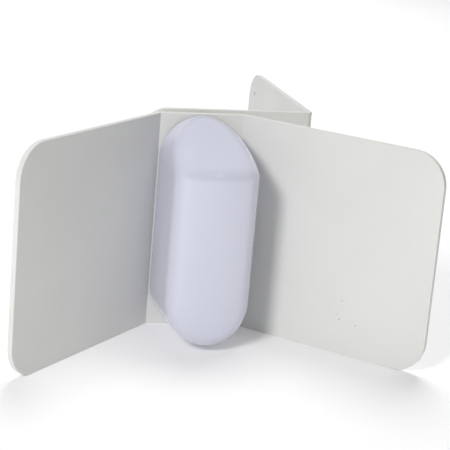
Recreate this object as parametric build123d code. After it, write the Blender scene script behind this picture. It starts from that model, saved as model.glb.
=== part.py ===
from build123d import *
import math
import os

# Sensor head of a shop exit gate: a folded front sheet with two wings, a moulded dome with the
# electronics under it, and an L-shaped rear bracket that is screwed to a counter end or a post.
# X runs along the centre panel, -Y is the side that the customer sees, Z is up, all in mm.
# The origin is in the bottom edge of the centre panel, at mid width and mid thickness.

# Sheets
SHEET = 5.0
HEIGHT = 200.0
CENTRE_W = 77.5
WING = 200.0
WING_ANGLE = 45.0
WING_CORNER_R = 30.0
BEND_R = 1.2
EDGE_R = 0.7
FACE_Y = -SHEET / 2
PANEL_BACK_Y = SHEET / 2

# Rear bracket
GAP = 14.0
PLATE_FRONT_Y = PANEL_BACK_Y + GAP
PLATE_BACK_Y = PLATE_FRONT_Y + SHEET
PLATE_LEFT_X = -48.0
FLANGE_X = 110.5
FLANGE_END_Y = 221.5
PLATE_CORNER_R = 20.0
FLANGE_CORNER_R = 27.5
BRACKET_BEND_R = 1.0
FIXING_HOLE_R = 2.75
FIXING_INSET = 20.0
FIXING_SPACING = 160.0

# Dome cover
DOME_R = 38.0
DOME_DEPTH = 82.5
DOME_BOTTOM = 0.5
DOME_TOP = 198.5
DOME_DRAFT_Z = 7.0
DOME_SLOPE_START = 10.0
DOME_SLOPE_DROP = 31.0
DOME_WALL = 2.5
DOME_GAP = 0.3
DOME_BACK_Y = FACE_Y - DOME_GAP
DOME_FRONT_Y = FACE_Y - DOME_DEPTH
DOME_EDGE_R = 12.0
BOSS_R = 6.0
BOSS_LENGTH = 16.0
BOSS_Z = (8.0, 191.0)
GASKET_W = 1.2
GASKET_DEPTH = 1.2
GASKET_INSET = 0.65

# Fasteners
BOLT_R = 2.5
BOLT_HOLE_R = 2.75
BOLT_X = 23.0
BOLT_Z = (34.0, 166.0)
BOLT_HEAD_R = 4.6
BOLT_HEAD_H = 3.4
WASHER_R = 5.5
WASHER_T = 1.0
NUT_ACROSS = 8.0
NUT_T = 4.0
BOLT_END = 2.0
SPACER_R = 6.0
COVER_SCREW_R = 1.9
COVER_SCREW_HOLE_R = 2.2
COVER_SCREW_END = 12.0
INSERT_R = 3.0
INSERT_LENGTH = 8.0
THREAD_CLEARANCE = 0.05

# Tray and boards
TRAY_W = 62.0
TRAY_Z = (22.0, 178.0)
TRAY_T = 3.0
TRAY_RIM = 6.0
TRAY_RIM_W = 1.6
TRAY_CORNER_R = 12.0
TRAY_FRONT_Y = FACE_Y - TRAY_T
PILLAR_L = 10.0
PILLAR_ACROSS = 6.0
PILLAR_X = 23.0
PILLAR_Z = (50.0, 142.0)
BOARD_W = 56.0
BOARD_Z = (44.0, 148.0)
BOARD_T = 1.6
BOARD_BACK_Y = TRAY_FRONT_Y - PILLAR_L
BOARD_FRONT_Y = BOARD_BACK_Y - BOARD_T
SMALL_SCREW_R = 1.4
SMALL_HEAD_R = 2.7
SMALL_HEAD_H = 1.9
SMALL_HOLE_R = 1.5

# Antenna and lamps
POST_X = 18.0
POST_Z = (60.0, 132.0)
POST_R = 3.5
POST_HOLE_R = 4.2
STUD_L = 2.5
SCREW_DEPTH = 7.0
ANTENNA_BACK_Y = -46.0
ANTENNA_W = 50.0
ANTENNA_Z = (32.0, 158.0)
ANTENNA_FRONT_Y = ANTENNA_BACK_Y - BOARD_T
LOOP_W = 1.2
LOOP_PITCH = 1.6
LOOP_T = 0.4
LED_BOARD_W = 12.0
LED_BOARD_Z = (44.0, 146.0)
LED_COUNT = 8
LED_SIZE = 5.0
LED_H = 1.6

TERMINAL_X = (-7.5, -2.5, 2.5, 7.5)

# Tamper switch
SWITCH_Z = 166.0
SWITCH_W = 12.0
SWITCH_H = 16.0
SWITCH_DEPTH = 15.0
PLUNGER_R = 1.6
PLUNGER_OUT = 4.0
PRESSER_R = 3.5
PLUNGER_TRAVEL = 2.5
PLUNGER_HOLE_R = 1.65
PLUNGER_COLLAR_R = 2.6
PLUNGER_COLLAR_T = 1.0
SWITCH_FRONT_Y = TRAY_FRONT_Y - SWITCH_DEPTH
SWITCH_WALL = 1.5
SWITCH_BORE_R = 3.0
PLUNGER_TIP_Y = SWITCH_FRONT_Y - PLUNGER_OUT
COLLAR_FRONT_Y = SWITCH_FRONT_Y + SWITCH_WALL + PLUNGER_TRAVEL + 0.1
SPRING_R = 2.2
SPRING_WIRE_R = 0.3
SPRING_TURNS = 5

# Cable entry
GROMMET_Z = 100.0
GROMMET_HOLE_R = 8.0
GROMMET_BORE_R = 5.0
GROMMET_FLANGE_R = 10.5
GROMMET_FLANGE_T = 1.5
TRAY_GROMMET_R = 11.2


def block(x0, x1, y0, y1, z0, z1):
    """Box between two corners."""
    return Pos((x0 + x1) / 2, (y0 + y1) / 2, (z0 + z1) / 2) * Box(x1 - x0, y1 - y0, z1 - z0)


def rod(radius, y0, y1, x=0.0, z=0.0):
    """Cylinder along Y from y0 to y1."""
    return Pos(x, (y0 + y1) / 2, z) * Rot(90, 0, 0) * Cylinder(radius, abs(y1 - y0))


def tube(outer_r, inner_r, y0, y1, x=0.0, z=0.0):
    """Round tube along Y."""
    return rod(outer_r, y0, y1, x, z) - rod(inner_r, y0 - 1, y1 + 1, x, z)


def hexagon(across, y0, y1, x=0.0, z=0.0):
    """Hexagonal bar along Y, with the size across its flats."""
    plane = Plane(origin=(x, y0, z), x_dir=(1, 0, 0), z_dir=(0, 1, 0))
    return extrude(plane * RegularPolygon(across / 2, 6, major_radius=False), y1 - y0)


def grid(xs, zs):
    """Every pair of an X and a Z."""
    return [(x, z) for x in xs for z in zs]


BOLT_PLACES = grid((-BOLT_X, BOLT_X), BOLT_Z)
PILLAR_PLACES = grid((-PILLAR_X, PILLAR_X), PILLAR_Z)
POST_PLACES = grid((-POST_X, POST_X), POST_Z)


def near(edges, x, y, reach):
    """The edges whose centre is within reach of a vertical line through x, y."""
    return [e for e in edges if math.hypot(e.center().X - x, e.center().Y - y) < reach]


def wing_point(along, depth, side):
    """Point on a wing: along from the fold, and depth behind its front face. side is -1 or 1."""
    a = math.radians(WING_ANGLE)
    x = CENTRE_W / 2 + along * math.sin(a) + depth * math.cos(a)
    y = FACE_Y - along * math.cos(a) + depth * math.sin(a)
    return (side * x, y)


def soften(sheet, bend_reach):
    """Rounds a folded sheet's outline, leaving alone the upright lines within bend_reach of a bend."""
    outline = []
    for edge in sheet.edges():
        straight = edge.geom_type == GeomType.LINE
        across = straight and abs(edge.length - SHEET) < 0.01
        upright = straight and abs(edge.tangent_at(0.5).Z) > 0.99
        if not across and not (upright and bend_reach(edge.center())):
            outline.append(edge)
    return fillet(outline, EDGE_R)


def front_panel():
    mitre = SHEET * math.tan(math.radians(WING_ANGLE) / 2)
    right_front = [(CENTRE_W / 2, FACE_Y), wing_point(WING, 0, 1)]
    right_back = [wing_point(WING, SHEET, 1), (CENTRE_W / 2 + mitre, PANEL_BACK_Y)]
    left = [(-x, y) for x, y in reversed(right_front + right_back)]
    outline = Polyline(*(right_front + right_back + left), close=True)
    sheet = extrude(make_face(outline), HEIGHT)
    for side in (-1, 1):
        inner = near(sheet.edges().filter_by(Axis.Z), side * CENTRE_W / 2, FACE_Y, 1)
        sheet = fillet(inner, BEND_R)
        back_x = side * (CENTRE_W / 2 + mitre)
        outer = near(sheet.edges().filter_by(Axis.Z), back_x, PANEL_BACK_Y, 1)
        sheet = fillet(outer, BEND_R + SHEET)
        tip = wing_point(WING, SHEET / 2, side)
        corners = [e for e in near(sheet.edges(), *tip, 0.5) if e.length < SHEET + 1]
        sheet = fillet(corners, WING_CORNER_R)
    sheet = soften(sheet, lambda p: abs(p.X) < CENTRE_W)
    for x, z in BOLT_PLACES:
        sheet -= rod(BOLT_HOLE_R, FACE_Y - 1, PANEL_BACK_Y + 1, x, z)
    for z in BOSS_Z:
        sheet -= rod(COVER_SCREW_HOLE_R, FACE_Y - 1, PANEL_BACK_Y + 1, 0, z)
    return sheet - rod(GROMMET_HOLE_R, FACE_Y - 1, PANEL_BACK_Y + 1, 0, GROMMET_Z)


def fixing_places():
    """Y and Z of the four holes in the flange."""
    far_y = FLANGE_END_Y - FIXING_INSET
    return [(y, z) for y in (far_y - FIXING_SPACING, far_y)
            for z in (FIXING_INSET, FIXING_INSET + FIXING_SPACING)]


def rear_bracket():
    plate = block(PLATE_LEFT_X, FLANGE_X, PLATE_FRONT_Y, PLATE_BACK_Y, 0, HEIGHT)
    flange = block(FLANGE_X - SHEET, FLANGE_X, PLATE_FRONT_Y, FLANGE_END_Y, 0, HEIGHT)
    sheet = plate + flange
    upright = sheet.edges().filter_by(Axis.Z)
    sheet = fillet(near(upright, FLANGE_X, PLATE_FRONT_Y, 1), BRACKET_BEND_R + SHEET)
    upright = sheet.edges().filter_by(Axis.Z)
    sheet = fillet(near(upright, FLANGE_X - SHEET, PLATE_BACK_Y, 1), BRACKET_BEND_R)
    left = near(sheet.edges().filter_by(Axis.Y), PLATE_LEFT_X, PLATE_BACK_Y - SHEET / 2, 1)
    sheet = fillet(left, PLATE_CORNER_R)
    far = near(sheet.edges().filter_by(Axis.X), FLANGE_X - SHEET / 2, FLANGE_END_Y, 1)
    sheet = fillet(far, FLANGE_CORNER_R)
    sheet = soften(sheet, lambda p: p.X > 0 and p.Y < CENTRE_W)
    for y, z in fixing_places():
        sheet -= Pos(FLANGE_X - SHEET / 2, y, z) * Rot(0, 90, 0) * Cylinder(FIXING_HOLE_R, 2 * SHEET)
    for x, z in BOLT_PLACES:
        sheet -= rod(BOLT_HOLE_R, PLATE_FRONT_Y - 1, PLATE_BACK_Y + 1, x, z)
    return sheet - rod(GROMMET_HOLE_R, PLATE_FRONT_Y - 1, PLATE_BACK_Y + 1, 0, GROMMET_Z)


def stadium(y, radius, bottom, top):
    """Upright face with round ends, at depth y."""
    plane = Plane(origin=(0, y, (bottom + top) / 2), x_dir=(0, 0, 1), z_dir=(0, -1, 0))
    return plane * SlotOverall(top - bottom, 2 * radius)


def dome_solid(inset, back_y):
    """Closed dome, set in from the outer surface by inset, from back_y to its nose."""
    radius = DOME_R - inset
    front_y = DOME_FRONT_Y + inset
    top = DOME_TOP - inset
    base = stadium(back_y, radius, DOME_BOTTOM + inset, top)
    nose = stadium(front_y, radius, DOME_BOTTOM + inset + DOME_DRAFT_Z, top)
    body = loft([base.face(), nose.face()])
    slope = math.atan2(DOME_SLOPE_DROP, DOME_DEPTH - DOME_SLOPE_START)
    level = DOME_TOP - inset / math.cos(slope)
    facet = Plane(origin=(0, FACE_Y - DOME_SLOPE_START, level), x_dir=(1, 0, 0),
                  z_dir=(0, -math.sin(slope), math.cos(slope)))
    body -= extrude(facet * Rectangle(4 * DOME_R, 4 * DOME_DEPTH), 3 * DOME_R)
    round_r = DOME_EDGE_R - inset
    on_facet = [e for e in body.edges() if abs(facet.to_local_coords(e.center()).Z) < 0.02]
    shoulder = [e for e in on_facet if e.center().Y > front_y + 0.5]
    body = fillet(shoulder, round_r)
    on_nose = body.edges().filter_by_position(Axis.Y, front_y - 0.01, front_y + 0.01)
    return fillet(on_nose, round_r)


def ring(inset, width, y0, y1):
    """Band that follows the dome's rim, from y0 back to y1."""
    outer = stadium(y1, DOME_R - inset, DOME_BOTTOM + inset, DOME_TOP - inset)
    inner_inset = inset + width
    inner = stadium(y1, DOME_R - inner_inset, DOME_BOTTOM + inner_inset, DOME_TOP - inner_inset)
    return extrude(outer - inner, y1 - y0)


def dome_cover():
    outer = dome_solid(0, DOME_BACK_Y)
    shell = outer - dome_solid(DOME_WALL, DOME_BACK_Y)
    for z in BOSS_Z:
        shell += rod(BOSS_R, DOME_BACK_Y - BOSS_LENGTH, DOME_BACK_Y, 0, z) & outer
    for z in BOSS_Z:
        shell -= rod(INSERT_R + 0.02, DOME_BACK_Y - INSERT_LENGTH, DOME_BACK_Y, 0, z)
        shell -= rod(COVER_SCREW_HOLE_R, DOME_BACK_Y - BOSS_LENGTH + 1, DOME_BACK_Y, 0, z)
    presser = rod(PRESSER_R, DOME_FRONT_Y, PLUNGER_TIP_Y - DOME_GAP, 0, SWITCH_Z)
    shell += presser & outer
    groove_y = DOME_BACK_Y - GASKET_DEPTH
    return shell - ring(GASKET_INSET, GASKET_W, groove_y, DOME_BACK_Y)


def plate_xz(width, z0, z1, y0, y1, corner_r):
    """Upright plate centred on X = 0 with rounded corners, from y0 to y1."""
    plane = Plane(origin=(0, y0, (z0 + z1) / 2), x_dir=(1, 0, 0), z_dir=(0, 1, 0))
    return extrude(plane * RectangleRounded(width, z1 - z0, corner_r), y1 - y0)


def group(makers):
    """Separate solids of one kind, kept together."""
    return Compound(children=list(makers))


def spacer_tubes():
    return group(tube(SPACER_R, BOLT_HOLE_R, PANEL_BACK_Y, PLATE_FRONT_Y, x, z) for x, z in BOLT_PLACES)


def clamp_bolt(x, z):
    """Pan-head bolt from the tray back through both sheets, with a hexagon recess."""
    seat_y = TRAY_FRONT_Y - WASHER_T
    head_y = seat_y - BOLT_HEAD_H
    head = rod(BOLT_HEAD_R, head_y, seat_y, x, z)
    head = fillet(head.edges().group_by(Axis.Y)[0], 0.8)
    shank = rod(BOLT_R, seat_y, PLATE_BACK_Y + WASHER_T + NUT_T + BOLT_END, x, z)
    return head + shank - hexagon(3.0, head_y - 1, head_y + 2, x, z)


def washer(y0, x, z):
    return tube(WASHER_R, BOLT_HOLE_R, y0, y0 + WASHER_T, x, z)


def clamp_nut(x, z):
    y0 = PLATE_BACK_Y + WASHER_T
    nut = hexagon(NUT_ACROSS, y0, y0 + NUT_T, x, z)
    return nut - rod(BOLT_R + THREAD_CLEARANCE, y0 - 1, y0 + NUT_T + 1, x, z)


def base_tray():
    rim_y = TRAY_FRONT_Y - TRAY_RIM
    tray = plate_xz(TRAY_W, *TRAY_Z, rim_y, FACE_Y, TRAY_CORNER_R)
    inner_r = TRAY_CORNER_R - TRAY_RIM_W
    inner_z = (TRAY_Z[0] + TRAY_RIM_W, TRAY_Z[1] - TRAY_RIM_W)
    tray -= plate_xz(TRAY_W - 2 * TRAY_RIM_W, *inner_z, rim_y - 1, TRAY_FRONT_Y, inner_r)
    for x, z in BOLT_PLACES:
        tray -= rod(BOLT_HOLE_R, rim_y, FACE_Y + 1, x, z)
    for x, z in PILLAR_PLACES + POST_PLACES:
        tray -= rod(SMALL_HOLE_R, rim_y, FACE_Y + 1, x, z)
    return tray - rod(TRAY_GROMMET_R, rim_y, FACE_Y + 1, 0, GROMMET_Z)


def board_pillar(x, z):
    """Hexagonal brass pillar with a stud in the tray and a tapped hole for the board screw."""
    body = hexagon(PILLAR_ACROSS, BOARD_BACK_Y, TRAY_FRONT_Y, x, z)
    stud = rod(SMALL_SCREW_R, TRAY_FRONT_Y, TRAY_FRONT_Y + STUD_L, x, z)
    return body + stud - rod(SMALL_HOLE_R, BOARD_BACK_Y - 1, BOARD_BACK_Y + SCREW_DEPTH, x, z)


def antenna_post(x, z):
    body = rod(POST_R, ANTENNA_BACK_Y, TRAY_FRONT_Y, x, z)
    stud = rod(SMALL_SCREW_R, TRAY_FRONT_Y, TRAY_FRONT_Y + STUD_L, x, z)
    return body + stud - rod(SMALL_HOLE_R, ANTENNA_BACK_Y - 1, ANTENNA_BACK_Y + SCREW_DEPTH, x, z)


def small_screw(seat_y, x, z):
    """Pan-head screw with a cross slot, its head in front of seat_y."""
    head_y = seat_y - SMALL_HEAD_H
    screw = rod(SMALL_HEAD_R, head_y, seat_y, x, z)
    screw = fillet(screw.edges().group_by(Axis.Y)[0], 0.6)
    screw += rod(SMALL_SCREW_R, seat_y, seat_y + SCREW_DEPTH, x, z)
    slot = 1.5
    screw -= block(x - slot, x + slot, head_y - 1, head_y + 1, z - 0.3, z + 0.3)
    return screw - block(x - 0.3, x + 0.3, head_y - 1, head_y + 1, z - slot, z + slot)


def main_board():
    board = plate_xz(BOARD_W, *BOARD_Z, BOARD_FRONT_Y, BOARD_BACK_Y, 3)
    for x, z in PILLAR_PLACES:
        board -= rod(SMALL_HOLE_R, BOARD_FRONT_Y - 1, BOARD_BACK_Y + 1, x, z)
    for x, z in POST_PLACES:
        board -= rod(POST_HOLE_R, BOARD_FRONT_Y - 1, BOARD_BACK_Y + 1, x, z)
    return board


def on_board(width, height, depth, x, z):
    """Block that stands on the main board."""
    return block(x - width / 2, x + width / 2, BOARD_FRONT_Y - depth, BOARD_FRONT_Y,
                 z - height / 2, z + height / 2)


def shield_can():
    wall = 0.5
    outer = on_board(28, 26, 4, 0, 79)
    return outer - Pos(0, wall, 0) * on_board(28 - 2 * wall, 26 - 2 * wall, 4, 0, 79)


def terminal_block():
    """Four-way screw terminal with wire holes from below."""
    body = on_board(22, 10, 11, 0, 52)
    for x in TERMINAL_X:
        body -= Pos(x, BOARD_FRONT_Y - 4, 49) * Cylinder(1.3, 8)
        body -= rod(2.0, BOARD_FRONT_Y - 12, BOARD_FRONT_Y - 10, x, 52)
    return body


def terminal_screw(x):
    head = rod(1.8, BOARD_FRONT_Y - 10.6, BOARD_FRONT_Y - 10, x, 52)
    return head - block(x - 2, x + 2, BOARD_FRONT_Y - 11, BOARD_FRONT_Y - 10.3, 51.75, 52.25)


def sounder():
    case = rod(12, BOARD_FRONT_Y - 10, BOARD_FRONT_Y, 0, 107)
    case = fillet(case.edges().group_by(Axis.Y)[0], 1)
    return case - rod(1.8, BOARD_FRONT_Y - 11, BOARD_FRONT_Y - 6, 0, 107)


def power_module():
    module = on_board(24, 18, 12, 0, 132)
    return fillet(module.edges().group_by(Axis.Y)[0], 0.8)


def capacitor(z):
    can = rod(4, BOARD_FRONT_Y - 14, BOARD_FRONT_Y, -21, z)
    return fillet(can.edges().group_by(Axis.Y)[0], 0.6)


def control_chip(z):
    return on_board(9, 9, 1.4, 21, z)


def antenna_board():
    board = plate_xz(ANTENNA_W, *ANTENNA_Z, ANTENNA_FRONT_Y, ANTENNA_BACK_Y, 4)
    for x, z in POST_PLACES:
        board -= rod(SMALL_HOLE_R, ANTENNA_FRONT_Y - 1, ANTENNA_BACK_Y + 1, x, z)
    return board


def antenna_turn(number):
    """One rectangular turn of copper on the front of the antenna board."""
    edge = 1 + number * LOOP_PITCH
    y0 = ANTENNA_FRONT_Y - LOOP_T
    low, high = ANTENNA_Z
    outer = plate_xz(ANTENNA_W - 2 * edge, low + edge, high - edge, y0, ANTENNA_FRONT_Y, 3)
    edge += LOOP_W
    inner = plate_xz(ANTENNA_W - 2 * edge, low + edge, high - edge, y0 - 1, ANTENNA_FRONT_Y + 1, 2)
    return outer - inner


def led_board():
    return plate_xz(LED_BOARD_W, *LED_BOARD_Z, ANTENNA_FRONT_Y - BOARD_T, ANTENNA_FRONT_Y, 2)


def led(number):
    pitch = (LED_BOARD_Z[1] - LED_BOARD_Z[0]) / LED_COUNT
    z = LED_BOARD_Z[0] + pitch * (number + 0.5)
    seat_y = ANTENNA_FRONT_Y - BOARD_T
    body = block(-LED_SIZE / 2, LED_SIZE / 2, seat_y - LED_H, seat_y, z - LED_SIZE / 2, z + LED_SIZE / 2)
    return body - rod(1.9, seat_y - LED_H - 1, seat_y - LED_H + 0.4, 0, z)


def tamper_switch():
    half = SWITCH_H / 2
    body = block(-SWITCH_W / 2, SWITCH_W / 2, SWITCH_FRONT_Y, TRAY_FRONT_Y, SWITCH_Z - half, SWITCH_Z + half)
    body -= rod(SWITCH_BORE_R, SWITCH_FRONT_Y + SWITCH_WALL, TRAY_FRONT_Y - SWITCH_WALL, 0, SWITCH_Z)
    return body - rod(PLUNGER_HOLE_R, SWITCH_FRONT_Y - 1, TRAY_FRONT_Y - SWITCH_WALL, 0, SWITCH_Z)


def tamper_plunger():
    collar_end = COLLAR_FRONT_Y + PLUNGER_COLLAR_T
    stem = rod(PLUNGER_R, PLUNGER_TIP_Y, collar_end, 0, SWITCH_Z)
    stem = fillet(stem.edges().group_by(Axis.Y)[0], 0.9)
    return stem + rod(PLUNGER_COLLAR_R, COLLAR_FRONT_Y, collar_end, 0, SWITCH_Z)


def tamper_spring():
    """Coil spring between the plunger's collar and the back of the switch."""
    low_y = COLLAR_FRONT_Y + PLUNGER_COLLAR_T + SPRING_WIRE_R + 0.05
    high_y = TRAY_FRONT_Y - SWITCH_WALL - SPRING_WIRE_R - 0.05
    length = high_y - low_y
    path = Helix(length / SPRING_TURNS, length, SPRING_R)
    section = Plane(origin=path @ 0, z_dir=path % 0) * Circle(SPRING_WIRE_R)
    coil = sweep(section, path, is_frenet=True)
    return Pos(0, low_y, SWITCH_Z) * Rot(-90, 0, 0) * coil


def grommet(y0, y1):
    """Rubber ring that lines a cable hole through a sheet from y0 to y1."""
    ring_shape = rod(GROMMET_HOLE_R, y0, y1, 0, GROMMET_Z)
    ring_shape += rod(GROMMET_FLANGE_R, y0 - GROMMET_FLANGE_T, y0, 0, GROMMET_Z)
    ring_shape += rod(GROMMET_FLANGE_R, y1, y1 + GROMMET_FLANGE_T, 0, GROMMET_Z)
    ends = ring_shape.edges().group_by(Axis.Y)
    ring_shape = fillet(ends[0] + ends[-1], 0.6)
    reach = GROMMET_FLANGE_T + 1
    return ring_shape - rod(GROMMET_BORE_R, y0 - reach, y1 + reach, 0, GROMMET_Z)


def cover_screw(z):
    """Screw from behind the front sheet into the dome's boss."""
    head = rod(3.6, PANEL_BACK_Y, PANEL_BACK_Y + 2.6, 0, z)
    head = fillet(head.edges().group_by(Axis.Y)[-1], 0.8)
    shank = rod(COVER_SCREW_R, -COVER_SCREW_END, PANEL_BACK_Y, 0, z)
    return head + shank - hexagon(2.5, PANEL_BACK_Y + 1, PANEL_BACK_Y + 4, 0, z)


def cover_insert(z):
    """Brass thread in the dome's boss."""
    inner_r = COVER_SCREW_R + THREAD_CLEARANCE
    return tube(INSERT_R, inner_r, DOME_BACK_Y - INSERT_LENGTH, DOME_BACK_Y, 0, z)


def cover_gasket():
    """Foam cord in the groove of the dome's rim."""
    return ring(GASKET_INSET, GASKET_W, DOME_BACK_Y - GASKET_DEPTH, FACE_Y - 0.1)


PARTS = {
    "front_panel": front_panel,
    "rear_bracket": rear_bracket,
    "spacer_tubes": spacer_tubes,
    "clamp_bolts": lambda: group(clamp_bolt(x, z) for x, z in BOLT_PLACES),
    "tray_washers": lambda: group(washer(TRAY_FRONT_Y - WASHER_T, x, z) for x, z in BOLT_PLACES),
    "rear_washers": lambda: group(washer(PLATE_BACK_Y, x, z) for x, z in BOLT_PLACES),
    "clamp_nuts": lambda: group(clamp_nut(x, z) for x, z in BOLT_PLACES),
    "base_tray": base_tray,
    "board_pillars": lambda: group(board_pillar(x, z) for x, z in PILLAR_PLACES),
    "main_board": main_board,
    "board_screws": lambda: group(small_screw(BOARD_FRONT_Y, x, z) for x, z in PILLAR_PLACES),
    "shield_can": shield_can,
    "terminal_block": terminal_block,
    "terminal_screws": lambda: group(terminal_screw(x) for x in TERMINAL_X),
    "sounder": sounder,
    "power_module": power_module,
    "capacitors": lambda: group(capacitor(z) for z in (72, 84, 96)),
    "control_chips": lambda: group(control_chip(z) for z in (72, 84, 96)),
    "antenna_posts": lambda: group(antenna_post(x, z) for x, z in POST_PLACES),
    "antenna_board": antenna_board,
    "antenna_loop": lambda: group(antenna_turn(n) for n in range(2)),
    "antenna_screws": lambda: group(small_screw(ANTENNA_FRONT_Y, x, z) for x, z in POST_PLACES),
    "led_board": led_board,
    "leds": lambda: group(led(n) for n in range(LED_COUNT)),
    "tamper_switch": tamper_switch,
    "tamper_spring": tamper_spring,
    "tamper_plunger": tamper_plunger,
    "front_grommet": lambda: grommet(FACE_Y, PANEL_BACK_Y),
    "rear_grommet": lambda: grommet(PLATE_FRONT_Y, PLATE_BACK_Y),
    "cover_screws": lambda: group(cover_screw(z) for z in BOSS_Z),
    "dome_cover": dome_cover,
    "cover_inserts": lambda: group(cover_insert(z) for z in BOSS_Z),
    "cover_gasket": cover_gasket,
}


def main():
    os.makedirs("parts", exist_ok=True)
    for name, make in PARTS.items():
        export_step(make(), f"parts/{name}.step")


if __name__ == "__main__":
    main()
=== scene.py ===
import math

import bmesh
import bpy
from mathutils import Matrix, Vector

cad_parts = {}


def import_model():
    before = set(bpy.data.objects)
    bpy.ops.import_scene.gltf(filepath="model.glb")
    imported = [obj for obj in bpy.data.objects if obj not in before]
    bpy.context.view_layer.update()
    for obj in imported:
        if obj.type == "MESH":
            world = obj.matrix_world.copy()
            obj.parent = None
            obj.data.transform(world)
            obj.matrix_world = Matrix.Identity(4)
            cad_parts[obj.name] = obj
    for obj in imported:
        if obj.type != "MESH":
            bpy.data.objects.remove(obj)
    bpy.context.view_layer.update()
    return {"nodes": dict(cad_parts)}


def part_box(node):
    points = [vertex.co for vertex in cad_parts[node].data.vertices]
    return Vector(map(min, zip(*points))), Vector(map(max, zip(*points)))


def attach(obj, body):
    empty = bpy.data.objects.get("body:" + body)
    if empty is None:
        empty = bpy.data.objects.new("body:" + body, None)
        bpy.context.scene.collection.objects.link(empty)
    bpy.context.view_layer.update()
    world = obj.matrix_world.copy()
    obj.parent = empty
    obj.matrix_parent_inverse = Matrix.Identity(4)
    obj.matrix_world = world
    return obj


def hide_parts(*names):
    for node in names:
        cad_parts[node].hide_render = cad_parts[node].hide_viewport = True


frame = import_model()
NODES = frame["nodes"]

# ---------------------------------------------------------------- camera and light

CAMERA_AT = Vector((-0.3358, -1.3195, 0.4830))
CAMERA_PITCH = math.radians(15.81)
CAMERA_YAW = math.radians(15.50)
CAMERA_ROLL = math.radians(4.99)
CAMERA_SENSOR = 36.0
CAMERA_LENS = 123.1
CAMERA_REACH = 50

LIGHT_AIM = (0, -0.02, 0.1)
WHITE = (1.0, 1.0, 1.0)
KEY_WHITE = (1.0, 0.997, 0.99)
SKY_COLOR = (0.97, 0.98, 1.0, 1)
SKY_STRENGTH = 0.20


def camera():
    """Camera at the viewing angle: pitched down, turned to the right and rolled a little."""
    data = bpy.data.cameras.new("camera")
    data.sensor_width = CAMERA_SENSOR
    data.lens = CAMERA_LENS
    data.clip_end = CAMERA_REACH
    cam = bpy.data.objects.new("camera", data)
    bpy.context.scene.collection.objects.link(cam)
    forward = Vector((math.sin(CAMERA_YAW) * math.cos(CAMERA_PITCH),
                      math.cos(CAMERA_YAW) * math.cos(CAMERA_PITCH),
                      -math.sin(CAMERA_PITCH)))
    level_right = Vector((math.cos(CAMERA_YAW), -math.sin(CAMERA_YAW), 0))
    level_up = level_right.cross(forward)
    right = math.cos(CAMERA_ROLL) * level_right + math.sin(CAMERA_ROLL) * level_up
    up = math.cos(CAMERA_ROLL) * level_up - math.sin(CAMERA_ROLL) * level_right
    turn = Matrix((right, up, -forward)).transposed().to_4x4()
    cam.matrix_world = Matrix.Translation(CAMERA_AT) @ turn
    bpy.context.scene.camera = cam


def area_light(name, at, target, size, power, color, glossy=True):
    """Rectangular lamp of size metres and power watts, which shows in gloss only if glossy."""
    data = bpy.data.lights.new(name, "AREA")
    data.shape = "RECTANGLE"
    data.size, data.size_y = size
    data.energy = power
    data.color = color
    lamp = bpy.data.objects.new(name, data)
    bpy.context.scene.collection.objects.link(lamp)
    lamp.location = at
    aim = Vector(target) - Vector(at)
    lamp.rotation_euler = aim.to_track_quat("-Z", "Y").to_euler()
    lamp.visible_glossy = glossy
    lamp.visible_camera = False


def lights():
    """A key from the left, a small window for gloss, one lamp above and one for the floor behind."""
    area_light("key", (-1.12, -1.38, 1.15), LIGHT_AIM, (0.42, 0.42), 21.5, KEY_WHITE, glossy=False)
    area_light("window", (0.40, -1.60, 1.25), LIGHT_AIM, (0.09, 0.16), 0.8, WHITE)
    area_light("top", (0.3, 0.6, 1.8), LIGHT_AIM, (1.0, 1.0), 18.5, WHITE, glossy=False)
    area_light("backdrop", (0.5, 2.3, 1.6), (0.5, 2.2, 0), (1.6, 1.0), 22.0, WHITE, glossy=False)


def world():
    scene_world = bpy.data.worlds.new("studio")
    bpy.context.scene.world = scene_world
    scene_world.use_nodes = True
    background = scene_world.node_tree.nodes["Background"]
    background.inputs["Color"].default_value = SKY_COLOR
    background.inputs["Strength"].default_value = SKY_STRENGTH


# ---------------------------------------------------------------- material helpers

NOISE_LOW = 0.3
NOISE_HIGH = 0.7
BEVEL_SAMPLES = 4
FLAT_DOT = 0.98
SHARP_DOT = 0.75
SPECK_CORE = 0.6
PATCH_SCALE = 0.11
PATCH_START = 0.66
PATCH_END = 0.71


def new_material(name):
    mat = bpy.data.materials.new(name)
    mat.use_nodes = True
    return mat, mat.node_tree


def shader_of(tree):
    return tree.nodes["Principled BSDF"]


def place(tree):
    """Object coordinates, in metres in the model's frame."""
    return tree.nodes.new("ShaderNodeTexCoord").outputs["Object"]


def noise(tree, scale, detail=3.0, rough=0.5, stretch=None):
    """Fractal noise with scale cells a metre; stretch scales the coordinates on each axis."""
    node = tree.nodes.new("ShaderNodeTexNoise")
    node.inputs["Scale"].default_value = scale
    node.inputs["Detail"].default_value = detail
    node.inputs["Roughness"].default_value = rough
    source = place(tree)
    if stretch:
        mapping = tree.nodes.new("ShaderNodeMapping")
        mapping.inputs["Scale"].default_value = stretch
        tree.links.new(source, mapping.inputs["Vector"])
        source = mapping.outputs["Vector"]
    tree.links.new(source, node.inputs["Vector"])
    return node.outputs["Fac"]


def remap(tree, value, low, high, to_low=0.0, to_high=1.0):
    node = tree.nodes.new("ShaderNodeMapRange")
    node.inputs["From Min"].default_value = low
    node.inputs["From Max"].default_value = high
    node.inputs["To Min"].default_value = to_low
    node.inputs["To Max"].default_value = to_high
    tree.links.new(value, node.inputs["Value"])
    return node.outputs["Result"]


def spread(tree, value, to_low=0.0, to_high=1.0):
    """Noise's usual values, spread from to_low to to_high."""
    return remap(tree, value, NOISE_LOW, NOISE_HIGH, to_low, to_high)


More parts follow.
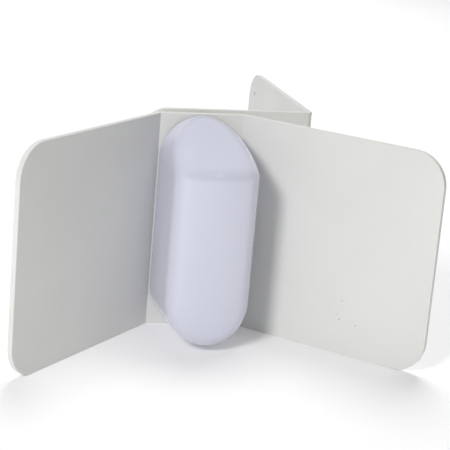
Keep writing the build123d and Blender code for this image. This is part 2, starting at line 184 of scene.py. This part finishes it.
def times(tree, first, second):
    """Product of two values, each a number or a socket, kept from 0 to 1."""
    node = tree.nodes.new("ShaderNodeMath")
    node.operation = "MULTIPLY"
    node.use_clamp = True
    for socket, value in zip(node.inputs, (first, second)):
        if isinstance(value, (int, float)):
            socket.default_value = value
        else:
            tree.links.new(value, socket)
    return node.outputs[0]


def set_base(tree, color):
    tree.links.new(color, shader_of(tree).inputs["Base Color"])


def set_roughness(tree, value):
    tree.links.new(value, shader_of(tree).inputs["Roughness"])


def mix_color(tree, factor, first, second):
    """Mixes two colours, each a tuple or a socket."""
    node = tree.nodes.new("ShaderNodeMix")
    node.data_type = "RGBA"
    tree.links.new(factor, node.inputs["Factor"])
    for socket, value in ((node.inputs[6], first), (node.inputs[7], second)):
        if isinstance(value, tuple):
            socket.default_value = value + (1,)
        else:
            tree.links.new(value, socket)
    return node.outputs[2]


def edge_mask(tree, radius):
    """1 on sharp edges and 0 on flats, from how far a bevelled normal leans from the true one."""
    bevel = tree.nodes.new("ShaderNodeBevel")
    bevel.samples = BEVEL_SAMPLES
    bevel.inputs["Radius"].default_value = radius
    geometry = tree.nodes.new("ShaderNodeNewGeometry")
    dot = tree.nodes.new("ShaderNodeVectorMath")
    dot.operation = "DOT_PRODUCT"
    tree.links.new(bevel.outputs["Normal"], dot.inputs[0])
    tree.links.new(geometry.outputs["Normal"], dot.inputs[1])
    return remap(tree, dot.outputs["Value"], FLAT_DOT, SHARP_DOT)


def add_bump(tree, heights):
    """heights: (height socket, distance in metres, strength) rows, stacked one on another."""
    last = None
    for height, distance, strength in heights:
        bump = tree.nodes.new("ShaderNodeBump")
        bump.inputs["Distance"].default_value = distance
        bump.inputs["Strength"].default_value = strength
        tree.links.new(height, bump.inputs["Height"])
        if last:
            tree.links.new(last, bump.inputs["Normal"])
        last = bump.outputs["Normal"]
    tree.links.new(last, shader_of(tree).inputs["Normal"])


def specks(tree, scale, size):
    """Sparse round specks in scattered patches: 1 in a speck and 0 elsewhere."""
    cells = tree.nodes.new("ShaderNodeTexVoronoi")
    cells.inputs["Scale"].default_value = scale
    tree.links.new(place(tree), cells.inputs["Vector"])
    dot = remap(tree, cells.outputs["Distance"], size, size * SPECK_CORE)
    patch = remap(tree, noise(tree, scale * PATCH_SCALE, detail=1.0), PATCH_START, PATCH_END)
    return times(tree, dot, patch)


# ---------------------------------------------------------------- materials

SHEET_TONES = ((0.745, 0.745, 0.722), (0.785, 0.787, 0.765))
SHEET_WEAR_AND_HIGHLIGHT = (0.84, 0.84, 0.82)
SHEET_DIRT = (0.33, 0.31, 0.26)
DOME_TONES = ((0.640, 0.648, 0.760), (0.668, 0.674, 0.782))
DOME_EDGE_HIGHLIGHT = (0.70, 0.70, 0.75)
DOME_DUST = (0.45, 0.44, 0.42)
BOARD_RIM = (0.55, 0.50, 0.32)
RESIN_TONES = ((0.82, 0.68, 0.16), (0.90, 0.80, 0.34))
RESIN_BODY = (0.86, 0.86, 0.84)
RUBBER_TONES = ((0.022, 0.022, 0.023), (0.075, 0.073, 0.070))
FOAM_TONES = ((0.16, 0.16, 0.17), (0.34, 0.34, 0.35))
TRACK_PATTERN = {"Scale": 170, "Mortar Size": 0.035, "Brick Width": 1.3, "Row Height": 0.42}


def lighter(color, factor, lift=0.0):
    """color times factor, plus lift, at most white."""
    return tuple(min(1.0, c * factor + lift) for c in color)


def sheet_plastic():
    """Satin white sheet with a fine extruded texture, faint handling marks and edges painted lighter in
    patches, part edge wear and part painted highlight.
    """
    mat, tree = new_material("sheet_plastic")
    clouds = spread(tree, noise(tree, 9, detail=4.0, rough=0.55))
    base = mix_color(tree, clouds, *SHEET_TONES)
    # Sharp edges are painted lighter in noisy patches: part edge wear, part a painted highlight along the
    # edges.
    wear_and_highlight = remap(tree, noise(tree, 120), 0.35, 0.65, to_low=0.25)
    base = mix_color(tree, times(tree, edge_mask(tree, radius=0.0011), wear_and_highlight), base, SHEET_WEAR_AND_HIGHLIGHT)
    dirt = times(tree, specks(tree, 95, size=0.10), 0.65)
    set_base(tree, mix_color(tree, dirt, base, SHEET_DIRT))
    smudge = noise(tree, 22, detail=5.0, rough=0.6)
    set_roughness(tree, spread(tree, smudge, 0.36, 0.50))
    shader_of(tree).inputs["Specular IOR Level"].default_value = 0.42
    scuffs = noise(tree, 90, detail=4.0, rough=0.6, stretch=(1, 1, 0.06))
    grain = noise(tree, 2600, detail=2.0)
    add_bump(tree, [(grain, 0.00004, 0.35), (scuffs, 0.00006, 0.12)])
    return mat


def dome_plastic():
    """High-gloss cool white moulding with a slight flow waviness and fine polishing hairlines."""
    mat, tree = new_material("dome_plastic")
    shader = shader_of(tree)
    flow = spread(tree, noise(tree, 16, stretch=(1, 1, 0.45)))
    base = mix_color(tree, flow, *DOME_TONES)
    # Sharp edges are painted lighter all along: a painted highlight.
    base = mix_color(tree, edge_mask(tree, radius=0.0008), base, DOME_EDGE_HIGHLIGHT)
    dust = times(tree, specks(tree, 240, size=0.10), 0.35)
    set_base(tree, mix_color(tree, dust, base, DOME_DUST))
    haze = noise(tree, 30, detail=5.0, rough=0.6)
    set_roughness(tree, spread(tree, haze, 0.10, 0.16))
    shader.inputs["Coat Weight"].default_value = 0.50
    shader.inputs["Coat Roughness"].default_value = 0.08
    waviness = noise(tree, 34, detail=2.0, rough=0.4)
    hairlines = noise(tree, 420, detail=2.0, stretch=(1, 1, 0.05))
    add_bump(tree, [(waviness, 0.0003, 0.10), (hairlines, 0.00002, 0.10)])
    return mat


def moulding(name, color, rough=0.5):
    """Matt moulded plastic with a spark-eroded grain and slightly polished edges."""
    mat, tree = new_material(name)
    tones = spread(tree, noise(tree, 60, detail=4.0))
    base = mix_color(tree, tones, lighter(color, 0.88), lighter(color, 1.12, lift=0.01))
    rubbed = times(tree, edge_mask(tree, radius=0.0006), 0.6)
    set_base(tree, mix_color(tree, rubbed, base, lighter(color, 1.5, lift=0.05)))
    set_roughness(tree, spread(tree, noise(tree, 140, detail=4.0), rough - 0.07, rough + 0.07))
    add_bump(tree, [(noise(tree, 1800, detail=2.0), 0.00005, 0.4)])
    return mat


def metal(name, color, rough=0.3, stretch=(1, 1, 1)):
    """Plated or turned metal with fine tool marks, tarnish and bright edges."""
    mat, tree = new_material(name)
    shader_of(tree).inputs["Metallic"].default_value = 1.0
    tarnish = remap(tree, noise(tree, 160, detail=5.0, rough=0.6), 0.35, 0.7)
    base = mix_color(tree, tarnish, color, lighter(color, 0.72))
    set_base(tree, mix_color(tree, edge_mask(tree, radius=0.0004), base, lighter(color, 1.15)))
    marks = noise(tree, 900, stretch=stretch)
    set_roughness(tree, spread(tree, marks, rough - 0.08, rough + 0.12))
    add_bump(tree, [(marks, 0.00003, 0.35)])
    return mat


def circuit_board(name, resist, track):
    """Board with solder resist over a maze of tracks."""
    mat, tree = new_material(name)
    brick = tree.nodes.new("ShaderNodeTexBrick")
    for socket_name, value in TRACK_PATTERN.items():
        brick.inputs[socket_name].default_value = value
    mapping = tree.nodes.new("ShaderNodeMapping")
    mapping.inputs["Rotation"].default_value = (math.radians(90), 0, 0)
    tree.links.new(place(tree), mapping.inputs["Vector"])
    tree.links.new(mapping.outputs["Vector"], brick.inputs["Vector"])
    routed = remap(tree, noise(tree, 75, detail=1.0), 0.47, 0.50)
    lines = times(tree, brick.outputs["Fac"], routed)
    base = mix_color(tree, lines, resist, track)
    set_base(tree, mix_color(tree, edge_mask(tree, radius=0.0004), base, BOARD_RIM))
    set_roughness(tree, spread(tree, noise(tree, 200, detail=4.0), 0.24, 0.40))
    add_bump(tree, [(lines, 0.00004, 0.8), (noise(tree, 900), 0.00002, 0.3)])
    return mat


def lamp_resin():
    """Clear yellow resin over phosphor in a white lamp body."""
    mat, tree = new_material("lamp_resin")
    shader = shader_of(tree)
    cloud = remap(tree, noise(tree, 500), 0.35, 0.65)
    base = mix_color(tree, cloud, *RESIN_TONES)
    set_base(tree, mix_color(tree, edge_mask(tree, radius=0.0005), base, RESIN_BODY))
    shader.inputs["Roughness"].default_value = 0.22
    shader.inputs["Coat Weight"].default_value = 0.6
    add_bump(tree, [(noise(tree, 700, detail=2.0), 0.00003, 0.3)])
    return mat


def rubber():
    """Moulded black rubber with a dusty bloom."""
    mat, tree = new_material("rubber")
    bloom = remap(tree, noise(tree, 130, detail=5.0, rough=0.65), 0.4, 0.75)
    set_base(tree, mix_color(tree, bloom, *RUBBER_TONES))
    set_roughness(tree, remap(tree, bloom, 0.0, 1.0, 0.55, 0.8))
    add_bump(tree, [(noise(tree, 1500), 0.00006, 0.5)])
    return mat


def foam():
    """Closed-cell foam cord."""
    mat, tree = new_material("foam")
    cells = tree.nodes.new("ShaderNodeTexVoronoi")
    cells.inputs["Scale"].default_value = 2200
    tree.links.new(place(tree), cells.inputs["Vector"])
    set_base(tree, mix_color(tree, cells.outputs["Distance"], *FOAM_TONES))
    shader_of(tree).inputs["Roughness"].default_value = 0.9
    add_bump(tree, [(cells.outputs["Distance"], 0.00012, 0.8)])
    return mat


def paint_nodes():
    """Gives every CAD node but dome_cover its material; dome() hides dome_cover and paints its copy."""
    steel = metal("zinc_steel", (0.62, 0.64, 0.67), 0.30)
    brass = metal("turned_brass", (0.78, 0.57, 0.24), 0.28)
    copper = metal("copper_track", (0.86, 0.52, 0.33), 0.30)
    tin = metal("tin_plate", (0.74, 0.75, 0.77), 0.34, stretch=(1, 1, 0.08))
    wire = metal("spring_wire", (0.55, 0.56, 0.58), 0.26)
    sheet = sheet_plastic()
    black = moulding("black_moulding", (0.028, 0.028, 0.032), 0.42)
    white = moulding("nylon", (0.74, 0.73, 0.66), 0.46)
    green = circuit_board("green_board", (0.012, 0.120, 0.050), (0.035, 0.270, 0.110))
    pale = circuit_board("white_board", (0.76, 0.76, 0.74), (0.60, 0.61, 0.60))
    table = {
        sheet: ["front_panel", "rear_bracket"],
        steel: ["clamp_bolts", "tray_washers", "rear_washers", "clamp_nuts", "board_screws",
                "antenna_screws", "terminal_screws", "cover_screws"],
        brass: ["board_pillars", "cover_inserts"],
        copper: ["antenna_loop"],
        tin: ["shield_can"],
        wire: ["tamper_spring"],
        white: ["spacer_tubes", "antenna_posts"],
        black: ["terminal_block", "sounder", "power_module", "control_chips", "tamper_switch"],
        moulding("grey_moulding", (0.40, 0.41, 0.43), 0.5): ["base_tray"],
        moulding("sleeve", (0.035, 0.045, 0.13), 0.28): ["capacitors"],
        moulding("red_moulding", (0.55, 0.03, 0.02), 0.35): ["tamper_plunger"],
        green: ["main_board", "antenna_board"],
        pale: ["led_board"],
        lamp_resin(): ["leds"],
        rubber(): ["front_grommet", "rear_grommet"],
        foam(): ["cover_gasket"],
    }
    for mat, names in table.items():
        for name in names:
            mesh = NODES[name].data
            for index in range(len(mesh.materials)):
                mesh.materials[index] = mat


# ---------------------------------------------------------------- dome

DOME_VOXEL = 0.0013
DOME_SMOOTHING = 46
SMOOTH_FACTOR = 0.5
RIM_KEPT = 0.012
EASED_FROM = 0.026
CROWN = 0.007
CROWN_POWER = 2.0


def applied(obj):
    """Turns an object's modifiers into its mesh."""
    graph = bpy.context.evaluated_depsgraph_get()
    mesh = bpy.data.meshes.new_from_object(obj.evaluated_get(graph))
    obj.modifiers.clear()
    obj.data = mesh


def ramp(value, start, end):
    """0 before start and 1 after end, turning smoothly between them."""
    part = min(1.0, max(0.0, (value - start) / (end - start)))
    return part * part * (3 - 2 * part)


def dome(material):
    """The dome as a soft moulding: creases eased and the nose crowned, with its rim left uneased."""
    low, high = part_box("dome_cover")
    piece = bpy.data.objects.new("dome_moulding", NODES["dome_cover"].data.copy())
    bpy.context.scene.collection.objects.link(piece)
    remesh = piece.modifiers.new("remesh", "REMESH")
    remesh.mode = "VOXEL"
    remesh.voxel_size = DOME_VOXEL
    applied(piece)
    nose = piece.vertex_groups.new(name="nose")
    for vertex in piece.data.vertices:
        weight = ramp(high[1] - vertex.co.y, RIM_KEPT, EASED_FROM)
        if weight > 0:
            nose.add([vertex.index], weight, "REPLACE")
    smooth = piece.modifiers.new("smooth", "SMOOTH")
    smooth.factor = SMOOTH_FACTOR
    smooth.iterations = DOME_SMOOTHING
    smooth.vertex_group = "nose"
    applied(piece)
    half_width = (high[0] - low[0]) / 2
    depth = high[1] - low[1]
    for vertex in piece.data.vertices:
        forward = ramp(high[1] - vertex.co.y, 0.0, depth)
        beside = (abs(vertex.co.x) / half_width) ** CROWN_POWER
        vertex.co.y += CROWN * forward * (beside - 0.5)
    for polygon in piece.data.polygons:
        polygon.use_smooth = True
    piece.data.materials.clear()
    piece.data.materials.append(material)
    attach(piece, "cover")
    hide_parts("dome_cover")


# ---------------------------------------------------------------- board details

LEGS_A_SIDE = 6
LEG_WIDTH = 0.00038
LEG_THICKNESS = 0.00016
LEG_BEND = 0.0005
LEG_KNEE = 1.5
LEG_REACH = 0.0013
LENS_RADIUS = 0.00182
LENS_SEAT = 0.0004
LENS_RISE = 0.0005
LENS_RINGS = 6
CAN_TOP_RADIUS = 0.0033
CAN_TOP_STEP = 0.00025
CAN_RIM_INSIDE = 0.90
CAN_DISH = 0.82
CAN_DISH_STEP = 0.4
WELD_DISTANCE = 1e-6
LATHE_SIDES = 28


def solid_boxes(node):
    """Lowest and highest corner of each separate solid in a CAD node, from the bottom up."""
    mesh = bmesh.new()
    mesh.from_mesh(NODES[node].data)
    bmesh.ops.remove_doubles(mesh, verts=mesh.verts, dist=WELD_DISTANCE)
    unseen = set(mesh.verts)
    boxes = []
    while unseen:
        reached = [unseen.pop()]
        points = []
        while reached:
            vertex = reached.pop()
            points.append(vertex.co.copy())
            for edge in vertex.link_edges:
                other = edge.other_vert(vertex)
                if other in unseen:
                    unseen.discard(other)
                    reached.append(other)
        boxes.append((Vector([min(p[i] for p in points) for i in range(3)]),
                      Vector([max(p[i] for p in points) for i in range(3)])))
    mesh.free()
    return sorted(boxes, key=lambda corners: round(corners[0].z, 6))


def strip(mesh, path, width):
    """Bent flat strip along path, a list of (x, y, z) points: width in z and LEG_THICKNESS in y."""
    rings = []
    for x, y, z in path:
        corners = [(x, y, z - width / 2), (x, y, z + width / 2),
                   (x, y - LEG_THICKNESS, z + width / 2), (x, y - LEG_THICKNESS, z - width / 2)]
        rings.append([mesh.verts.new(corner) for corner in corners])
    for first, second in zip(rings, rings[1:]):
        for i in range(4):
            j = (i + 1) % 4
            mesh.faces.new((first[i], first[j], second[j], second[i]))
    mesh.faces.new(rings[0])
    mesh.faces.new(rings[-1][::-1])


def lathe(mesh, x, y, z, profile):
    """Closed turned form about an axis along -Y: profile is (radius, forward) from the rim to the axis."""
    turn = [2 * math.pi * i / LATHE_SIDES for i in range(LATHE_SIDES)]
    rings = []
    for radius, forward in profile[:-1]:
        rings.append([mesh.verts.new((x + radius * math.cos(a), y - forward, z + radius * math.sin(a)))
                      for a in turn])
    for first, second in zip(rings, rings[1:]):
        for i in range(LATHE_SIDES):
            j = (i + 1) % LATHE_SIDES
            mesh.faces.new((first[i], first[j], second[j], second[i]))
    tip = mesh.verts.new((x, y - profile[-1][1], z))
    for i in range(LATHE_SIDES):
        mesh.faces.new((rings[-1][i], rings[-1][(i + 1) % LATHE_SIDES], tip))
    mesh.faces.new(rings[0][::-1])


def finish_piece(name, mesh, material, smooth=False):
    """Turns a bmesh into a named piece that rides on the frame."""
    bmesh.ops.recalc_face_normals(mesh, faces=mesh.faces)
    data = bpy.data.meshes.new(name)
    mesh.to_mesh(data)
    mesh.free()
    for polygon in data.polygons:
        polygon.use_smooth = smooth
    data.materials.append(material)
    piece = bpy.data.objects.new(name, data)
    bpy.context.scene.collection.objects.link(piece)
    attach(piece, "frame")


def chip_legs(material):
    """Gull-wing legs down both sides of each control chip."""
    mesh = bmesh.new()
    for low, high in solid_boxes("control_chips"):
        middle_y = (low.y + high.y) / 2
        pitch = (high.z - low.z) / LEGS_A_SIDE
        for edge, way in ((low.x, -1), (high.x, 1)):
            for number in range(LEGS_A_SIDE):
                z = low.z + pitch * (number + 0.5)
                foot = edge + way * LEG_REACH
                path = [(edge, middle_y, z), (edge + way * LEG_BEND, middle_y, z),
                        (edge + way * LEG_BEND * LEG_KNEE, high.y, z), (foot, high.y, z)]
                strip(mesh, path, LEG_WIDTH)
    finish_piece("chip_legs", mesh, material)


def lamp_lenses(material):
    """Shallow domes of resin in the lamps' round pockets."""
    mesh = bmesh.new()
    quarter = [math.radians(90) * i / LENS_RINGS for i in range(LENS_RINGS + 1)]
    rise = LENS_SEAT + LENS_RISE
    profile = [(LENS_RADIUS * math.cos(a), rise * math.sin(a)) for a in quarter]
    for low, high in solid_boxes("leds"):
        lathe(mesh, (low.x + high.x) / 2, low.y + LENS_SEAT, (low.z + high.z) / 2, profile)
    finish_piece("lamp_lenses", mesh, material, smooth=True)


def can_tops(material):
    """Bare metal tops of the capacitors, with a raised rim."""
    mesh = bmesh.new()
    radius = CAN_TOP_RADIUS
    step = CAN_TOP_STEP
    dish = step * CAN_DISH_STEP
    profile = [(radius, 0), (radius, step), (radius * CAN_RIM_INSIDE, step),
               (radius * CAN_DISH, dish), (0, dish)]
    for low, high in solid_boxes("capacitors"):
        lathe(mesh, (low.x + high.x) / 2, low.y, (low.z + high.z) / 2, profile)
    finish_piece("can_tops", mesh, material)


# ---------------------------------------------------------------- stage

FLOOR_HALF = 12.0
FLOOR_COLOR = (0.93, 0.93, 0.93, 1)
FLOOR_ROUGHNESS = 0.9
FLOOR_GLOW = 0.12
GLOW_COLOR = (1, 1, 1, 1)


def floor():
    mesh = bpy.data.meshes.new("floor")
    half = FLOOR_HALF
    corners = [(-half, -half, 0), (half, -half, 0), (half, half, 0), (-half, half, 0)]
    mesh.from_pydata(corners, [], [(0, 1, 2, 3)])
    ground = bpy.data.objects.new("floor", mesh)
    bpy.context.scene.collection.objects.link(ground)
    mat, tree = new_material("floor")
    shader = shader_of(tree)
    shader.inputs["Base Color"].default_value = FLOOR_COLOR
    shader.inputs["Roughness"].default_value = FLOOR_ROUGHNESS
    shader.inputs["Specular IOR Level"].default_value = 0.0
    shader.inputs["Emission Color"].default_value = GLOW_COLOR
    shader.inputs["Emission Strength"].default_value = FLOOR_GLOW
    mesh.materials.append(mat)


camera()
lights()
world()
paint_nodes()
dome(dome_plastic())
chip_legs(metal("leg_tin", (0.74, 0.75, 0.77), 0.30))
lamp_lenses(lamp_resin())
can_tops(metal("can_aluminium", (0.80, 0.80, 0.82), 0.32))
floor()
bpy.context.scene.view_settings.view_transform = "Standard"
